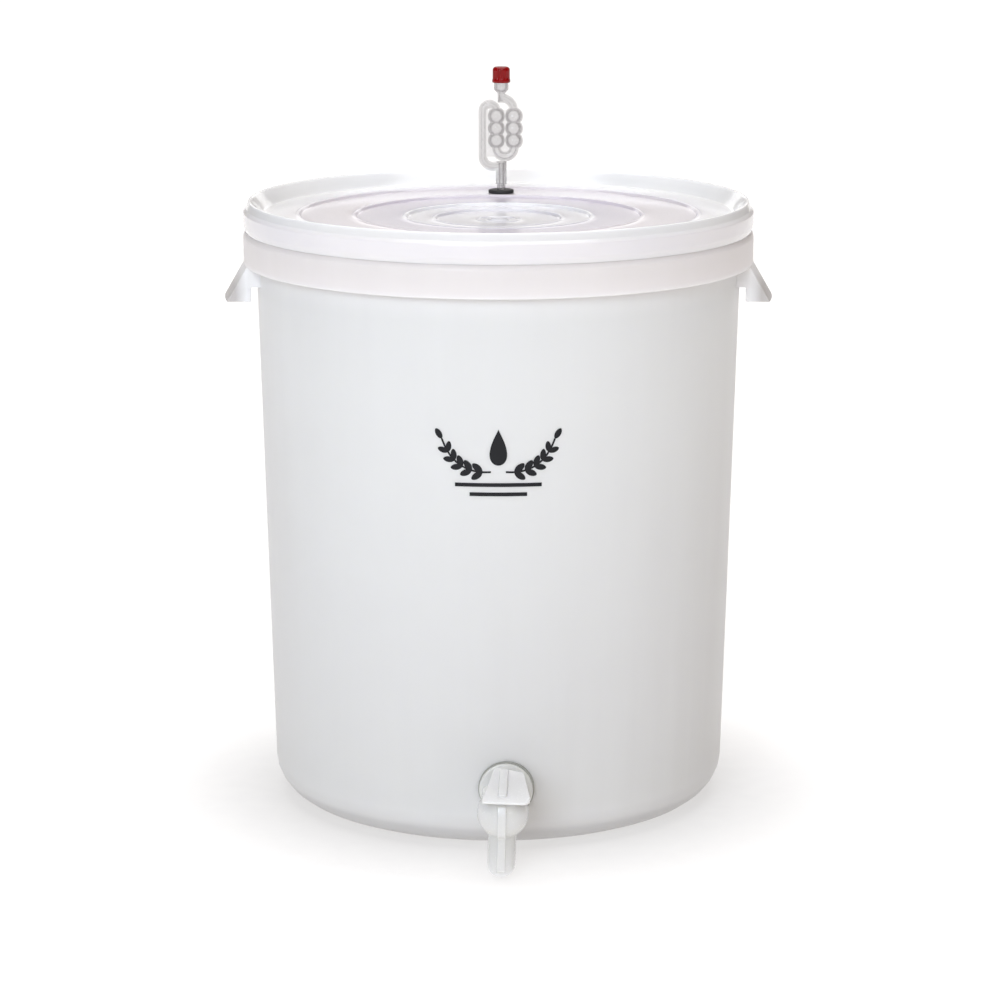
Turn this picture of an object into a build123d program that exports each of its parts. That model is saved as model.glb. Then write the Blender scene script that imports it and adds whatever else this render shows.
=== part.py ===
from build123d import *
import os
from math import cos, hypot, pi, radians, sin

# A plastic fermenting bucket with a lift-off lid, a bubbler airlock in the lid and a tap low on the wall.
# Millimetres. The origin is the centre of the base, on the surface that the bucket stands on.
# +Z is up, the tap faces -Y and the two handles stand out along +X and -X.

CLEAR = 1.0                 # cutting shapes run past the faces they open by this much

# ---- bucket ----
BASE_RAISE = 4.0            # the middle of the base stands clear of the surface
FOOT_INNER_R = 130.0        # the flat foot ring runs from here out to the corner
CORNER_R = 28.0             # outside radius between base and wall
WALL_FOOT_R = 163.4         # outside radius of the wall, just above the corner
WALL_TAPER = 0.0262         # growth of that radius for each millimetre of height
WALL = 2.5
BASE = 3.0
RIM_TOP_Z = 423.0
RIM_EDGE = 1.0              # chamfer along the rim's outer edge
RIM_BEAD_R = 177.4
RIM_BEAD_DEPTH = 4.5
RIM_BEAD_RAMP = 2.0         # height of the slope under the bead
COLLAR_R = 182.0            # drip collar round the top, open below
COLLAR_WALL = 2.2
COLLAR_FOOT_Z = 390.0
COLLAR_TOP_Z = 409.6
SHOULDER_Z = 413.0          # flat step that the lid's hem comes down to
SHOULDER_R = 178.6          # the step's outer edge, from where it slopes down to the collar

# ---- handles ----
HANDLE_HALF = 40.0          # half the width of a handle, along Y
HANDLE_TIP_R = 196.0
HANDLE_FOOT_Z = 365.6
HANDLE_WALL = 2.2
NOTCH_X = 174.6             # the side webs stop short of the wall below the notch
NOTCH_TOP_Z = 376.0

# ---- lid ----
LID_WALL = 1.8
LID_STEPS = ((168.2, 424.0), (143.0, 422.8), (103.0, 421.6), (67.0, 420.2), (46.0, 419.0))
LID_STEP_RUN = 2.0          # each step is a short slope
LID_STEP_LAG = 0.4          # the underside's steps lie a little further in
LID_CREST_Z = 434.0
LID_CREST_INNER_R = 176.2
LID_CREST_OUTER_R = 177.8
LID_SHOULDER_R = 179.8
LID_SHOULDER_Z = 428.8
LID_BELLY_R = 182.0
LID_BELLY_Z = 426.6         # the belly runs straight down from here
LID_HEM_Z = 413.6
LID_HEM_R = 179.6
LID_HEM_RISE = 2.4
LID_SKIRT_INNER_R = 177.9
LID_GROOVE_Z = 425.6        # roof of the groove on its inner side
LID_PLUG_R = 170.6          # ring that dips into the bucket's mouth
LID_PLUG_FOOT_Z = 414.0
SEAL_GAP = 0.3              # between the seal and the rim
SEAL_INNER_GAP = 0.6        # between the seal and the groove's walls
SEAL_OUTER_GAP = 0.2
SEAL_INNER_HEIGHT = 2.2
SEAL_OUTER_HEIGHT = 5.4
SEAL_FLAT = 1.8             # width of the seal's flat top

# ---- airlock, its grommet and its cap ----
AIRLOCK_X = 2.0
AIRLOCK_Y = 118.0
LID_HOLE_R = 6.0
GROMMET_R = 9.5
GROMMET_TOP_Z = 425.3
GROMMET_EDGE = 0.8
GROMMET_GROOVE_R = 5.95
GROMMET_UNDER_R = 8.2
GROMMET_UNDER = 2.4
STEM_R = 3.15
STEM_RUNNING_FIT = 0.05
STEM_BELOW = 18.0           # heights from here on are measured from the grommet's top
STEM_TOP = 20.8
LOOP_TUBE_R = 2.4
LOOP_X = -13.6
LOOP_FOOT = 17.3
LOOP_FOOT_BEND = 7.2
LOOP_TOP = 58.5
LEFT_COLUMN_X = -3.6
RIGHT_COLUMN_X = 9.2
TRAP_TUBE_R = 3.0
TRAP_FOOT = 31.2
BULB_R = 6.2
BULB_HEIGHTS = (36.6, 45.6, 54.6)
OUTLET_FOOT = 59.0
NECK_R = 2.65
NECK_FOOT = 65.0
CUP_R = 5.45
CUP_FOOT = 71.5
CUP_SHOULDER = 74.5
CUP_TOP = 89.4
AIRLOCK_WALL = 1.0
SEAM_PROUD = 0.9            # weld flange round the outline
SEAM_THICK = 1.2
SEAM_STEM = (4.0, 20.8)     # the flange runs along this much of the stem
CAP_R = 6.55
CAP_FLARE_R = 6.8
CAP_FLARE = 2.5
CAP_EDGE = (1.6, 2.0)       # chamfer round the cap's top, across and down
CAP_BORE_R = 5.75
CAP_FOOT = 79.7
CAP_TOP = 91.4
CAP_ROOF = 1.2
CAP_FLUTES = 12
CAP_FLUTE_R = 0.7
CAP_FLUTE_FOOT = 3.0
CAP_FLUTE_CENTRE_R = 6.93

# ---- tap ----
TAP_Z = 46.0
TAP_AZIMUTH = 1.9           # degrees round from -Y towards +X
TAP_YAW = -4.4              # the washers let it sit a few degrees off square to the wall
TAP_ROLL = 1.5              # it was tightened a little past upright
TAIL_R = 13.2
TAIL_ROOT_R = 12.5
TAIL_BORE_R = 6.5
TAIL_LENGTH = 21.0          # behind the flange
THREAD_PITCH = 2.4
WALL_HOLE_R = 13.6
FLANGE_SEAT = 2.2           # the flange's back face stands this far in front of the wall
FLANGE_R = 18.6
FLANGE_THICK = 3.2
WASHER_R = 19.3
WASHER_BORE_R = 13.35
WASHER_REACH = 5.0          # a washer's blank reaches this far through the wall's curve
NUT_SEAT = -6.0             # face of the nut's collar, inside the bucket
NUT_COLLAR_R = 18.0
NUT_COLLAR_THICK = 2.5
NUT_HALF_ACROSS_FLATS = 17.0
NUT_THICK = 8.0
NUT_BORE_R = 13.3
NECK_TUBE_R = 10.5
BARREL_OUT = 55.0           # barrel axis, in front of the wall
BARREL_R = 17.5             # the barrel is a ball with a short collar on top
BARREL_COLLAR_R = 14.5      # heights from here on are measured from the tap's axis
BARREL_TOP = 13.0
SPOUT_R = 9.6
SPOUT_BORE_R = 7.5
SPOUT_TIP = -42.8
SPOUT_CUT = 28.0            # degrees off square, lowest in front
RIDGE_WIDTH = 5.7
RIDGE_PROUD = 1.4
PLUG_R = 11.0
PLUG_RUNNING_FIT = 0.05
PLUG_FOOT = -10.5
PLUG_SEAT_GAP = 0.4
PLUG_PASSAGE_R = 7.0
PLUG_HEAD = 3.0
LEVER_ROOT = (-6.6, 13.2)   # the lever spreads from this width at the root
LEVER_TIP = (-14.0, 18.8)   # to this at the tip
LEVER_BACK = (9.0, 5.0)     # the root's left and right ends, behind the valve axis
LEVER_FRONT = 24.0
LEVER_CORNER = (3.3, 5.0)   # bevel on the tip's right corner, across and along
LEVER_ROUND = 2.0           # radius of the other corners
LEVER_TOP = 25.0            # height of the lever's top face over the valve axis
LEVER_SLOPE = 24.0          # degrees down towards the tip
LEVER_TIP_THICK = 2.5
LEVER_UNDER_SLOPE = 13.3    # slope of its underside
LEVER_BOSS_R = 9.0
LEVER_BOSS_TOP = 20.0
LEVER_RIB = 1.6


def wall_r(z):
    """Outside radius of the bucket's wall at height z."""
    return WALL_FOOT_R + (z - CORNER_R) * WALL_TAPER


def turned(points):
    """Solid of revolution about the vertical axis, from (radius, height) points."""
    outline = Plane.XZ * make_face(Polyline(*points, close=True))
    return revolve(outline, Axis.Z)


def block(low, high):
    """Box between two corners."""
    sizes = [b - a for a, b in zip(low, high)]
    middle = [(a + b) / 2 for a, b in zip(low, high)]
    return Pos(*middle) * Box(*sizes)


def post(radius, z_low, z_high, x=0.0, y=0.0):
    """Upright cylinder between two heights."""
    return Pos(x, y, (z_low + z_high) / 2) * Cylinder(radius, z_high - z_low)


def rod(radius, out_low, out_high):
    """Cylinder lying along -Y between two distances in front of the tap's seat."""
    middle = (out_low + out_high) / 2
    return Pos(0, -middle, 0) * Rot(90, 0, 0) * Cylinder(radius, out_high - out_low)


# ---------------------------------------------------------------- bucket

def bucket_outside():
    """The bucket's outer envelope without its handles, collar hollow and cavity."""
    bead_foot_z = RIM_TOP_Z - RIM_BEAD_DEPTH
    outline = Polyline((0, BASE_RAISE), (FOOT_INNER_R - BASE_RAISE, BASE_RAISE), (FOOT_INNER_R, 0),
                       (WALL_FOOT_R - CORNER_R, 0))
    corner = RadiusArc((WALL_FOOT_R - CORNER_R, 0), (WALL_FOOT_R, CORNER_R), -CORNER_R)
    upper = Polyline((WALL_FOOT_R, CORNER_R), (wall_r(COLLAR_FOOT_Z), COLLAR_FOOT_Z), (COLLAR_R, COLLAR_FOOT_Z),
                     (COLLAR_R, COLLAR_TOP_Z), (SHOULDER_R, SHOULDER_Z), (wall_r(SHOULDER_Z), SHOULDER_Z),
                     (wall_r(SHOULDER_Z), bead_foot_z - RIM_BEAD_RAMP), (RIM_BEAD_R, bead_foot_z),
                     (RIM_BEAD_R, RIM_TOP_Z - RIM_EDGE), (RIM_BEAD_R - RIM_EDGE, RIM_TOP_Z), (0, RIM_TOP_Z),
                     (0, BASE_RAISE))
    face = make_face(Plane.XZ * Wire([*outline.edges(), corner.edge(), *upper.edges()]))
    return revolve(face, Axis.Z)


def bucket_cavity():
    """The space inside the bucket, up past the rim."""
    inner_corner = CORNER_R - WALL
    floor_z = BASE_RAISE + BASE
    foot_r = wall_r(floor_z + inner_corner) - WALL
    top_z = RIM_TOP_Z + CLEAR
    floor = Polyline((0, top_z), (0, floor_z), (foot_r - inner_corner, floor_z))
    corner = RadiusArc((foot_r - inner_corner, floor_z), (foot_r, floor_z + inner_corner), -inner_corner)
    side = Polyline((foot_r, floor_z + inner_corner), (wall_r(top_z) - WALL, top_z), (0, top_z))
    face = make_face(Plane.XZ * Wire([*floor.edges(), corner.edge(), *side.edges()]))
    return revolve(face, Axis.Z)


def hollow_roof(inner_r):
    """Outline of the roof under the collar, from its outer end in to inner_r."""
    outer_r = COLLAR_R - COLLAR_WALL
    slope = COLLAR_R - SHOULDER_R
    roof_z = SHOULDER_Z - COLLAR_WALL
    return [(outer_r, COLLAR_TOP_Z - COLLAR_WALL / 2), (outer_r + COLLAR_WALL / 2 - slope, roof_z), (inner_r, roof_z)]


def collar_hollow():
    """The ring-shaped space between the collar and the wall, open below."""
    low_z = COLLAR_FOOT_Z - CLEAR
    return turned([(wall_r(low_z), low_z), (COLLAR_R - COLLAR_WALL, low_z), *hollow_roof(wall_r(SHOULDER_Z))])


def handle(side):
    """A flared grip on one side: a curved plate with a web at each end, open below."""
    flare = (HANDLE_TIP_R - COLLAR_R) / (COLLAR_FOOT_Z - HANDLE_FOOT_Z)
    across = HANDLE_WALL * hypot(1.0, flare)
    wall_foot = wall_r(HANDLE_FOOT_Z) - WALL / 2
    blank = turned([(wall_foot, HANDLE_FOOT_Z), (HANDLE_TIP_R, HANDLE_FOOT_Z), (COLLAR_R, COLLAR_FOOT_Z),
                    (COLLAR_R, COLLAR_TOP_Z), (SHOULDER_R, SHOULDER_Z), (wall_foot, SHOULDER_Z)])
    space = turned([(wall_foot - CLEAR, HANDLE_FOOT_Z - CLEAR),
                    (HANDLE_TIP_R - across + CLEAR * flare, HANDLE_FOOT_Z - CLEAR),
                    (COLLAR_R - COLLAR_WALL, COLLAR_FOOT_Z), *hollow_roof(wall_foot - CLEAR)])
    near = wall_foot - 3 * HANDLE_WALL
    far = HANDLE_TIP_R + CLEAR
    inner_half = HANDLE_HALF - HANDLE_WALL
    grip = blank & block((0, -HANDLE_HALF, HANDLE_FOOT_Z), (far, HANDLE_HALF, SHOULDER_Z))
    grip -= space & block((0, -inner_half, HANDLE_FOOT_Z - CLEAR), (far, inner_half, SHOULDER_Z))
    grip -= block((near, -HANDLE_HALF - CLEAR, HANDLE_FOOT_Z - CLEAR), (NOTCH_X, HANDLE_HALF + CLEAR, NOTCH_TOP_Z))
    return grip if side > 0 else Rot(0, 0, 180) * grip


def bucket_body():
    shell = bucket_outside() - collar_hollow()
    for side in (1, -1):
        shell += handle(side)
    shell -= bucket_cavity()
    return shell - tap_place(rod(WALL_HOLE_R, -2 * WASHER_REACH, WASHER_REACH))


# ---------------------------------------------------------------- lid

def lid():
    """One turned section: dished panel in steps, crest, skirt and plug ring, with the airlock's hole."""
    top = []
    for (outer_r, level), (inner_r, _) in zip(LID_STEPS, LID_STEPS[1:] + ((0.0, 0.0),)):
        top.append((outer_r - (LID_STEP_RUN if top else 0.0), level))
        top.append((inner_r, level))
    under_r = LID_PLUG_R - LID_WALL
    under = [(min(r, under_r) - (LID_STEP_LAG if r else 0.0), z - LID_WALL) for r, z in top]
    top.reverse()
    crest = [(LID_CREST_INNER_R, LID_CREST_Z), (LID_CREST_OUTER_R, LID_CREST_Z), (LID_SHOULDER_R, LID_SHOULDER_Z),
             (LID_BELLY_R, LID_BELLY_Z), (LID_BELLY_R, LID_HEM_Z + LID_HEM_RISE), (LID_HEM_R, LID_HEM_Z),
             (LID_SKIRT_INNER_R, LID_HEM_Z)]
    groove = [(LID_SKIRT_INNER_R, LID_CREST_Z - LID_WALL), (LID_CREST_INNER_R + LID_STEP_LAG, LID_CREST_Z - LID_WALL),
              (LID_PLUG_R, LID_GROOVE_Z)]
    plug = [(LID_PLUG_R, LID_PLUG_FOOT_Z), (under_r, LID_PLUG_FOOT_Z), (under_r, LID_STEPS[0][1] - LID_WALL)]
    hole = post(LID_HOLE_R, LID_PLUG_FOOT_Z, LID_CREST_Z, AIRLOCK_X, AIRLOCK_Y)
    return turned(top + crest + groove + plug + under) - hole


def lid_seal():
    """Rubber ring in the lid's groove, over the bucket's rim."""
    low_z = RIM_TOP_Z + SEAL_GAP
    inner_r = LID_PLUG_R + SEAL_INNER_GAP
    outer_r = LID_SKIRT_INNER_R - SEAL_OUTER_GAP
    return turned([(inner_r, low_z), (outer_r, low_z), (outer_r, low_z + SEAL_OUTER_HEIGHT),
                   (outer_r - SEAL_FLAT, low_z + SEAL_OUTER_HEIGHT), (inner_r, low_z + SEAL_INNER_HEIGHT)])


# ---------------------------------------------------------------- airlock

def airlock_place(shape):
    """Move a shape built about the grommet's top to its place on the lid."""
    return Pos(AIRLOCK_X, AIRLOCK_Y, GROMMET_TOP_Z) * shape


def airlock_grommet():
    panel = LID_STEPS[1][1] - GROMMET_TOP_Z
    under = panel - LID_WALL
    bore_r = STEM_R + STEM_RUNNING_FIT
    ring = turned([(bore_r, 0), (GROMMET_R - GROMMET_EDGE, 0), (GROMMET_R, -GROMMET_EDGE), (GROMMET_R, panel),
                   (GROMMET_GROOVE_R, panel), (GROMMET_GROOVE_R, under), (GROMMET_UNDER_R, under),
                   (GROMMET_UNDER_R - GROMMET_EDGE, under - GROMMET_UNDER), (bore_r, under - GROMMET_UNDER)])
    return airlock_place(ring)


def loop_route():
    """Centre line from the stem, out and up on the left, and over into the left column."""
    with BuildLine() as route:
        foot = Line((0, LOOP_FOOT), (LOOP_X + LOOP_FOOT_BEND, LOOP_FOOT))
        bend = JernArc(foot @ 1, foot % 1, LOOP_FOOT_BEND, -90)
        riser = Line(bend @ 1, (LOOP_X, LOOP_TOP))
        JernArc(riser @ 1, riser % 1, (LEFT_COLUMN_X - LOOP_X) / 2, -180)
    return route.wire()


def trap_route():
    """Centre line down the left column, round the bend and up the right column."""
    with BuildLine() as route:
        left = Line((LEFT_COLUMN_X, LOOP_TOP), (LEFT_COLUMN_X, TRAP_FOOT))
        bend = JernArc(left @ 1, left % 1, (RIGHT_COLUMN_X - LEFT_COLUMN_X) / 2, 180)
        Line(bend @ 1, (RIGHT_COLUMN_X, OUTLET_FOOT))
    return route.wire()


def outlet_route():
    """Centre line from the right column over to the neck below the cup."""
    with BuildLine() as route:
        JernArc((RIGHT_COLUMN_X, OUTLET_FOOT), (0, 1), RIGHT_COLUMN_X, 90)
    return route.wire()


def tube(flat_route, radius):
    """Round bar of one radius along a route, which is stood up from the flat."""
    route = Plane.XZ * flat_route
    section = Plane(origin=route @ 0, z_dir=route % 0) * Circle(radius)
    return sweep(section, route)


def airlock_filled(shrink):
    """The airlock's round parts as solid shapes, each radius less by shrink."""
    solid = post(STEM_R - shrink, -STEM_BELOW - shrink, STEM_TOP - shrink)
    solid += tube(loop_route(), LOOP_TUBE_R - shrink)
    solid += tube(trap_route(), TRAP_TUBE_R - shrink)
    solid += tube(outlet_route(), LOOP_TUBE_R - shrink)
    for column_x in (LEFT_COLUMN_X, RIGHT_COLUMN_X):
        for height in BULB_HEIGHTS:
            solid += Pos(column_x, 0, height) * Sphere(BULB_R - shrink)
    solid += post(NECK_R - shrink, NECK_FOOT + shrink, CUP_SHOULDER)
    solid += turned([(0, CUP_FOOT + shrink), (NECK_R - shrink, CUP_FOOT + shrink), (CUP_R - shrink, CUP_SHOULDER),
                     (CUP_R - shrink, CUP_TOP + shrink), (0, CUP_TOP + shrink)])
    return solid


def airlock_seam():
    """Flat weld flange along the outline, with the web that ties the loop to the two columns."""
    stem_low, stem_high = SEAM_STEM
    web_low = LOOP_FOOT + LOOP_FOOT_BEND
    flange = trace(loop_route(), 2 * (LOOP_TUBE_R + SEAM_PROUD))
    flange += trace(trap_route(), 2 * (TRAP_TUBE_R + SEAM_PROUD))
    flange += trace(outlet_route(), 2 * (LOOP_TUBE_R + SEAM_PROUD))
    flange += Pos(0, (stem_low + stem_high) / 2) * Rectangle(2 * (STEM_R + SEAM_PROUD), stem_high - stem_low)
    for column_x in (LEFT_COLUMN_X, RIGHT_COLUMN_X):
        for height in BULB_HEIGHTS:
            flange += Pos(column_x, height) * Circle(BULB_R + SEAM_PROUD)
    web_middle = ((LOOP_X + RIGHT_COLUMN_X) / 2, (web_low + OUTLET_FOOT) / 2)
    flange += Pos(*web_middle) * Rectangle(RIGHT_COLUMN_X - LOOP_X, OUTLET_FOOT - web_low)
    return extrude(Plane.XZ * flange, SEAM_THICK / 2, both=True)


def airlock_half(side):
    """One of the two moulded halves, cut where they are welded: side -1 is the front, +1 the rear."""
    shell = airlock_filled(0.0) + airlock_seam() - airlock_filled(AIRLOCK_WALL)
    reach = CUP_TOP + CLEAR
    keep = block((-reach, 0, -reach), (reach, reach, reach))
    half = shell & (keep if side > 0 else Rot(0, 0, 180) * keep)
    return airlock_place(half)


def airlock_cap():
    roof = CAP_TOP - CAP_ROOF
    edge_across, edge_down = CAP_EDGE
    cap = turned([(CAP_BORE_R, CAP_FOOT), (CAP_FLARE_R, CAP_FOOT), (CAP_R, CAP_FOOT + CAP_FLARE),
                  (CAP_R, CAP_TOP - edge_down), (CAP_R - edge_across, CAP_TOP), (0, CAP_TOP), (0, roof),
                  (CAP_BORE_R, roof)])
    for index in range(CAP_FLUTES):
        angle = 2 * pi * index / CAP_FLUTES
        cap -= post(CAP_FLUTE_R, CAP_FOOT + CAP_FLUTE_FOOT, CAP_TOP + CLEAR,
                    CAP_FLUTE_CENTRE_R * cos(angle), CAP_FLUTE_CENTRE_R * sin(angle))
    return airlock_place(cap)


# ---------------------------------------------------------------- tap

def tap_place(shape):
    """Move a shape built with the wall at Y = 0, the tap's axis along -Y and its barrel upright."""
    seat_r = wall_r(TAP_Z)
    turn = radians(TAP_AZIMUTH)
    seat = Pos(seat_r * sin(turn), -seat_r * cos(turn), TAP_Z)
    return seat * Rot(0, 0, TAP_AZIMUTH + TAP_YAW) * Rot(0, TAP_ROLL, 0) * shape


def tap_tail():
    """Threaded tail behind the flange; the thread is a row of plain ridges."""
    start = FLANGE_SEAT - TAIL_LENGTH
    tail = rod(TAIL_ROOT_R, start, FLANGE_SEAT)
    for index in range(int(TAIL_LENGTH / THREAD_PITCH) - 1):
        ridge = start + THREAD_PITCH * (index + 0.5)
        tail += rod(TAIL_R, ridge, ridge + THREAD_PITCH / 2)
    return tail


def tap_barrel():
    """Ball, collar and spout about the valve's axis, with a ridge down the front and an oblique mouth."""
    barrel = Sphere(BARREL_R) - block((-BARREL_R, -BARREL_R, BARREL_TOP), (BARREL_R, BARREL_R, BARREL_R))
    barrel += post(BARREL_COLLAR_R, 0, BARREL_TOP)
    barrel += post(SPOUT_R, SPOUT_TIP, 0)
    proud = Sphere(BARREL_R + RIDGE_PROUD) + post(SPOUT_R + RIDGE_PROUD, SPOUT_TIP, 0)
    slab = block((-RIDGE_WIDTH / 2, -BARREL_R - RIDGE_PROUD, SPOUT_TIP), (RIDGE_WIDTH / 2, 0, BARREL_TOP - CLEAR))
    barrel += proud & slab
    mouth_size = 2 * BARREL_R
    knife = Pos(0, -SPOUT_R, SPOUT_TIP) * Rot(SPOUT_CUT, 0, 0) * Pos(0, 0, -BARREL_R) * Box(*[mouth_size * 2] * 2, mouth_size)
    return barrel - knife


def tap_body():
    """Tail, flange, neck, barrel and spout in one moulding, bored through."""
    body = tap_tail()
    body += rod(FLANGE_R, FLANGE_SEAT, FLANGE_SEAT + FLANGE_THICK)
    body += rod(NECK_TUBE_R, FLANGE_SEAT, BARREL_OUT)
    body += Pos(0, -BARREL_OUT, 0) * tap_barrel()
    body -= rod(TAIL_BORE_R, FLANGE_SEAT - TAIL_LENGTH - CLEAR, BARREL_OUT)
    body -= post(PLUG_R + PLUG_RUNNING_FIT, PLUG_FOOT - PLUG_SEAT_GAP, BARREL_TOP + CLEAR, 0, -BARREL_OUT)
    body -= post(SPOUT_BORE_R, SPOUT_TIP - CLEAR, PLUG_FOOT, 0, -BARREL_OUT)
    return tap_place(body)


def lever_blank():
    """The lever's plan shape as an upright prism, wide enough in height to be cut to its slopes."""
    bevel_across, bevel_along = LEVER_CORNER
    outline = make_face(Polyline(
        (LEVER_ROOT[0], LEVER_BACK[0]), (LEVER_ROOT[1], LEVER_BACK[1]),
        (LEVER_TIP[1], bevel_along - LEVER_FRONT), (LEVER_TIP[1] - bevel_across, -LEVER_FRONT),
        (LEVER_TIP[0], -LEVER_FRONT), close=True))
    outline = fillet(outline.vertices(), LEVER_ROUND)
    return Pos(0, 0, BARREL_TOP) * extrude(outline, 2 * LEVER_FRONT)


def tap_lever():
    """Solid wedge with a sloping top and underside and a raised rib, on a round boss."""
    far = 4 * LEVER_FRONT
    slice_above = block((-far, -far, 0), (far, far, far))
    top_cut = Pos(0, 0, LEVER_TOP) * Rot(LEVER_SLOPE, 0, 0) * slice_above
    tip_rise = sin(radians(LEVER_SLOPE)) / cos(radians(LEVER_SLOPE)) * LEVER_FRONT
    tip_under = LEVER_TOP - tip_rise - LEVER_TIP_THICK
    under_cut = Pos(0, -LEVER_FRONT, tip_under) * Rot(LEVER_UNDER_SLOPE, 0, 0) * Rot(180, 0, 0) * slice_above
    wedge = lever_blank() - top_cut - under_cut
    half = RIDGE_WIDTH / 2
    rib = block((-half, LEVER_CORNER[1] / 2 - LEVER_FRONT, -LEVER_RIB), (half, LEVER_BACK[1], LEVER_RIB))
    wedge += Pos(0, 0, LEVER_TOP) * Rot(LEVER_SLOPE, 0, 0) * rib
    return wedge + post(LEVER_BOSS_R, BARREL_TOP + PLUG_SEAT_GAP, LEVER_BOSS_TOP)


def tap_valve():
    """Turning plug with an elbow passage, its head and the fan-shaped lever."""
    head_foot = BARREL_TOP + PLUG_SEAT_GAP
    valve = post(PLUG_R, PLUG_FOOT, head_foot)
    valve += post(BARREL_COLLAR_R, head_foot, head_foot + PLUG_HEAD)
    valve -= post(PLUG_PASSAGE_R, PLUG_FOOT - CLEAR, 0)
    valve -= Pos(0, PLUG_R, 0) * rod(TAIL_BORE_R, 0, PLUG_R + PLUG_PASSAGE_R / 2)
    return tap_place(Pos(0, -BARREL_OUT, 0) * (valve + tap_lever()))


def tap_outer_washer():
    """Rubber ring between the flange and the wall, pressed to the wall's curve."""
    ring = rod(WASHER_R, -WASHER_REACH, FLANGE_SEAT) - rod(WASHER_BORE_R, -WASHER_REACH, FLANGE_SEAT)
    return tap_place(ring) - bucket_outside()


def tap_inner_washer():
    """Rubber ring between the nut and the inside of the wall."""
    ring = rod(WASHER_R, NUT_SEAT, 0) - rod(WASHER_BORE_R, NUT_SEAT, 0)
    return tap_place(ring) & bucket_cavity()


def tap_backnut():
    """Six-sided nut with a collar that bears on the inner washer."""
    collar_back = NUT_SEAT - NUT_COLLAR_THICK
    hexagon = RegularPolygon(NUT_HALF_ACROSS_FLATS, 6, major_radius=False)
    nut = rod(NUT_COLLAR_R, collar_back, NUT_SEAT)
    nut += Pos(0, -collar_back, 0) * Rot(-90, 0, 0) * extrude(hexagon, NUT_THICK)
    return tap_place(nut - rod(NUT_BORE_R, collar_back - NUT_THICK, NUT_SEAT))


# ---------------------------------------------------------------- files

PARTS = {
    "bucket_body": bucket_body,
    "lid": lid,
    "lid_seal": lid_seal,
    "airlock_grommet": airlock_grommet,
    "airlock_front_half": lambda: airlock_half(-1),
    "airlock_rear_half": lambda: airlock_half(1),
    "airlock_cap": airlock_cap,
    "tap_body": tap_body,
    "tap_valve": tap_valve,
    "tap_outer_washer": tap_outer_washer,
    "tap_inner_washer": tap_inner_washer,
    "tap_backnut": tap_backnut,
}

os.makedirs("parts", exist_ok=True)
for name, make in PARTS.items():
    export_step(make(), f"parts/{name}.step")
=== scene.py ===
from math import asin, atan2, ceil, cos, degrees, hypot, pi, radians, sin, sqrt, tan

import bmesh
import bpy
from mathutils import Matrix, Vector


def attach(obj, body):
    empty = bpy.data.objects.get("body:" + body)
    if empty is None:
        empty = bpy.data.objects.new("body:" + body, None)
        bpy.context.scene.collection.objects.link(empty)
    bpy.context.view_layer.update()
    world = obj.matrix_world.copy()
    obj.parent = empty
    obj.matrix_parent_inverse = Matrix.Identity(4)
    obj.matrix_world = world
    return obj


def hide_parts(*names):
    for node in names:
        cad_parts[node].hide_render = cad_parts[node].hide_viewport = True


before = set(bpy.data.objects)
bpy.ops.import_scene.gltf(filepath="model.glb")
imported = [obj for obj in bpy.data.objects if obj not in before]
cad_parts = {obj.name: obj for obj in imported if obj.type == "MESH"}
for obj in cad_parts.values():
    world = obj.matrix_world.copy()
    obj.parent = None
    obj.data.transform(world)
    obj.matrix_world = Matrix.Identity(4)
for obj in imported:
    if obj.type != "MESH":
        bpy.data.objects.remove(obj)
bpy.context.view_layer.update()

# A fermenting bucket with its lid, airlock and tap. Outlines are in millimetres and become metres here.
MM = 0.001
ROUND = 256                 # segments round the bucket and the lid
SMALL_ROUND = 96            # segments round the small turned pieces
ARC_STEP = 15               # most degrees that one chord of a rounded corner turns
SAME_POINT = 1e-7           # vertices closer than this many metres are one
ON_AXIS = 1e-6              # a smaller radius than this, in millimetres, is a point on the axis

# ---- bucket ----
BASE_RAISE = 4.0
BASE = 3.0
GATE_R = 5.0                # mark of the mould's gate in the middle of the base
GATE_DEPTH = 0.6
GATE_RISE = 0.5
FOOT_INNER_R = 130.0
CORNER_R = 28.0
FOOT_SHARE = 0.9            # share of the foot's flat run that the corner's arc may take
WALL_FOOT_R = 163.4
WALL_TAPER = 0.0262         # gain in radius for each millimetre of height
WALL = 2.5
RIM_TOP = 423.0
RIM_BEAD_R = 177.4
RIM_BEAD_DEPTH = 4.5
COLLAR_R = 182.0
COLLAR_WALL = 2.2
COLLAR_FOOT = 390.0
COLLAR_TOP = 409.4
SHOULDER = 413.0
SHOULDER_R = 180.3
HANDLE_HALF = 40.0
HANDLE_TIP_R = 196.0
HANDLE_FOOT = 365.6
HANDLE_WALL = 2.2
HANDLE_FLARE = (HANDLE_TIP_R - COLLAR_R) / (COLLAR_FOOT - HANDLE_FOOT)
HANDLE_COLUMNS = 28
NOTCH_X = 174.6
NOTCH_TOP = 376.0

# ---- lid ----
LID_R = 182.0
LID_WALL = 1.8
LID_CREST = 434.0
LID_SKIRT_INNER_R = 177.9
LID_GROOVE_TOP = 432.2
LID_PLUG_R = 170.6
LID_PLUG_FOOT = 414.0
# Radius and level of each step of the dished panel, from the rim in.
LID_STEPS = ((168.2, 424.0), (143.0, 422.8), (103.0, 421.6), (67.0, 420.2), (46.0, 419.0))
LID_BEAD_RISE = 0.5         # the low bead along each step
LID_HOLE_R = 6.0
LID_HEM = 413.08
LID_HEM_R = 180.4
LID_HEM_RISE = 4.4          # the belly starts to draw in this far above the hem
SEAL_FOOT = 0.3             # height above the bucket's rim
SEAL_OUTER_R = 177.7
SEAL_TALL = 5.4
SEAL_INNER_TALL = 2.2
SEAL_TOP_WIDTH = 1.8

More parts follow.
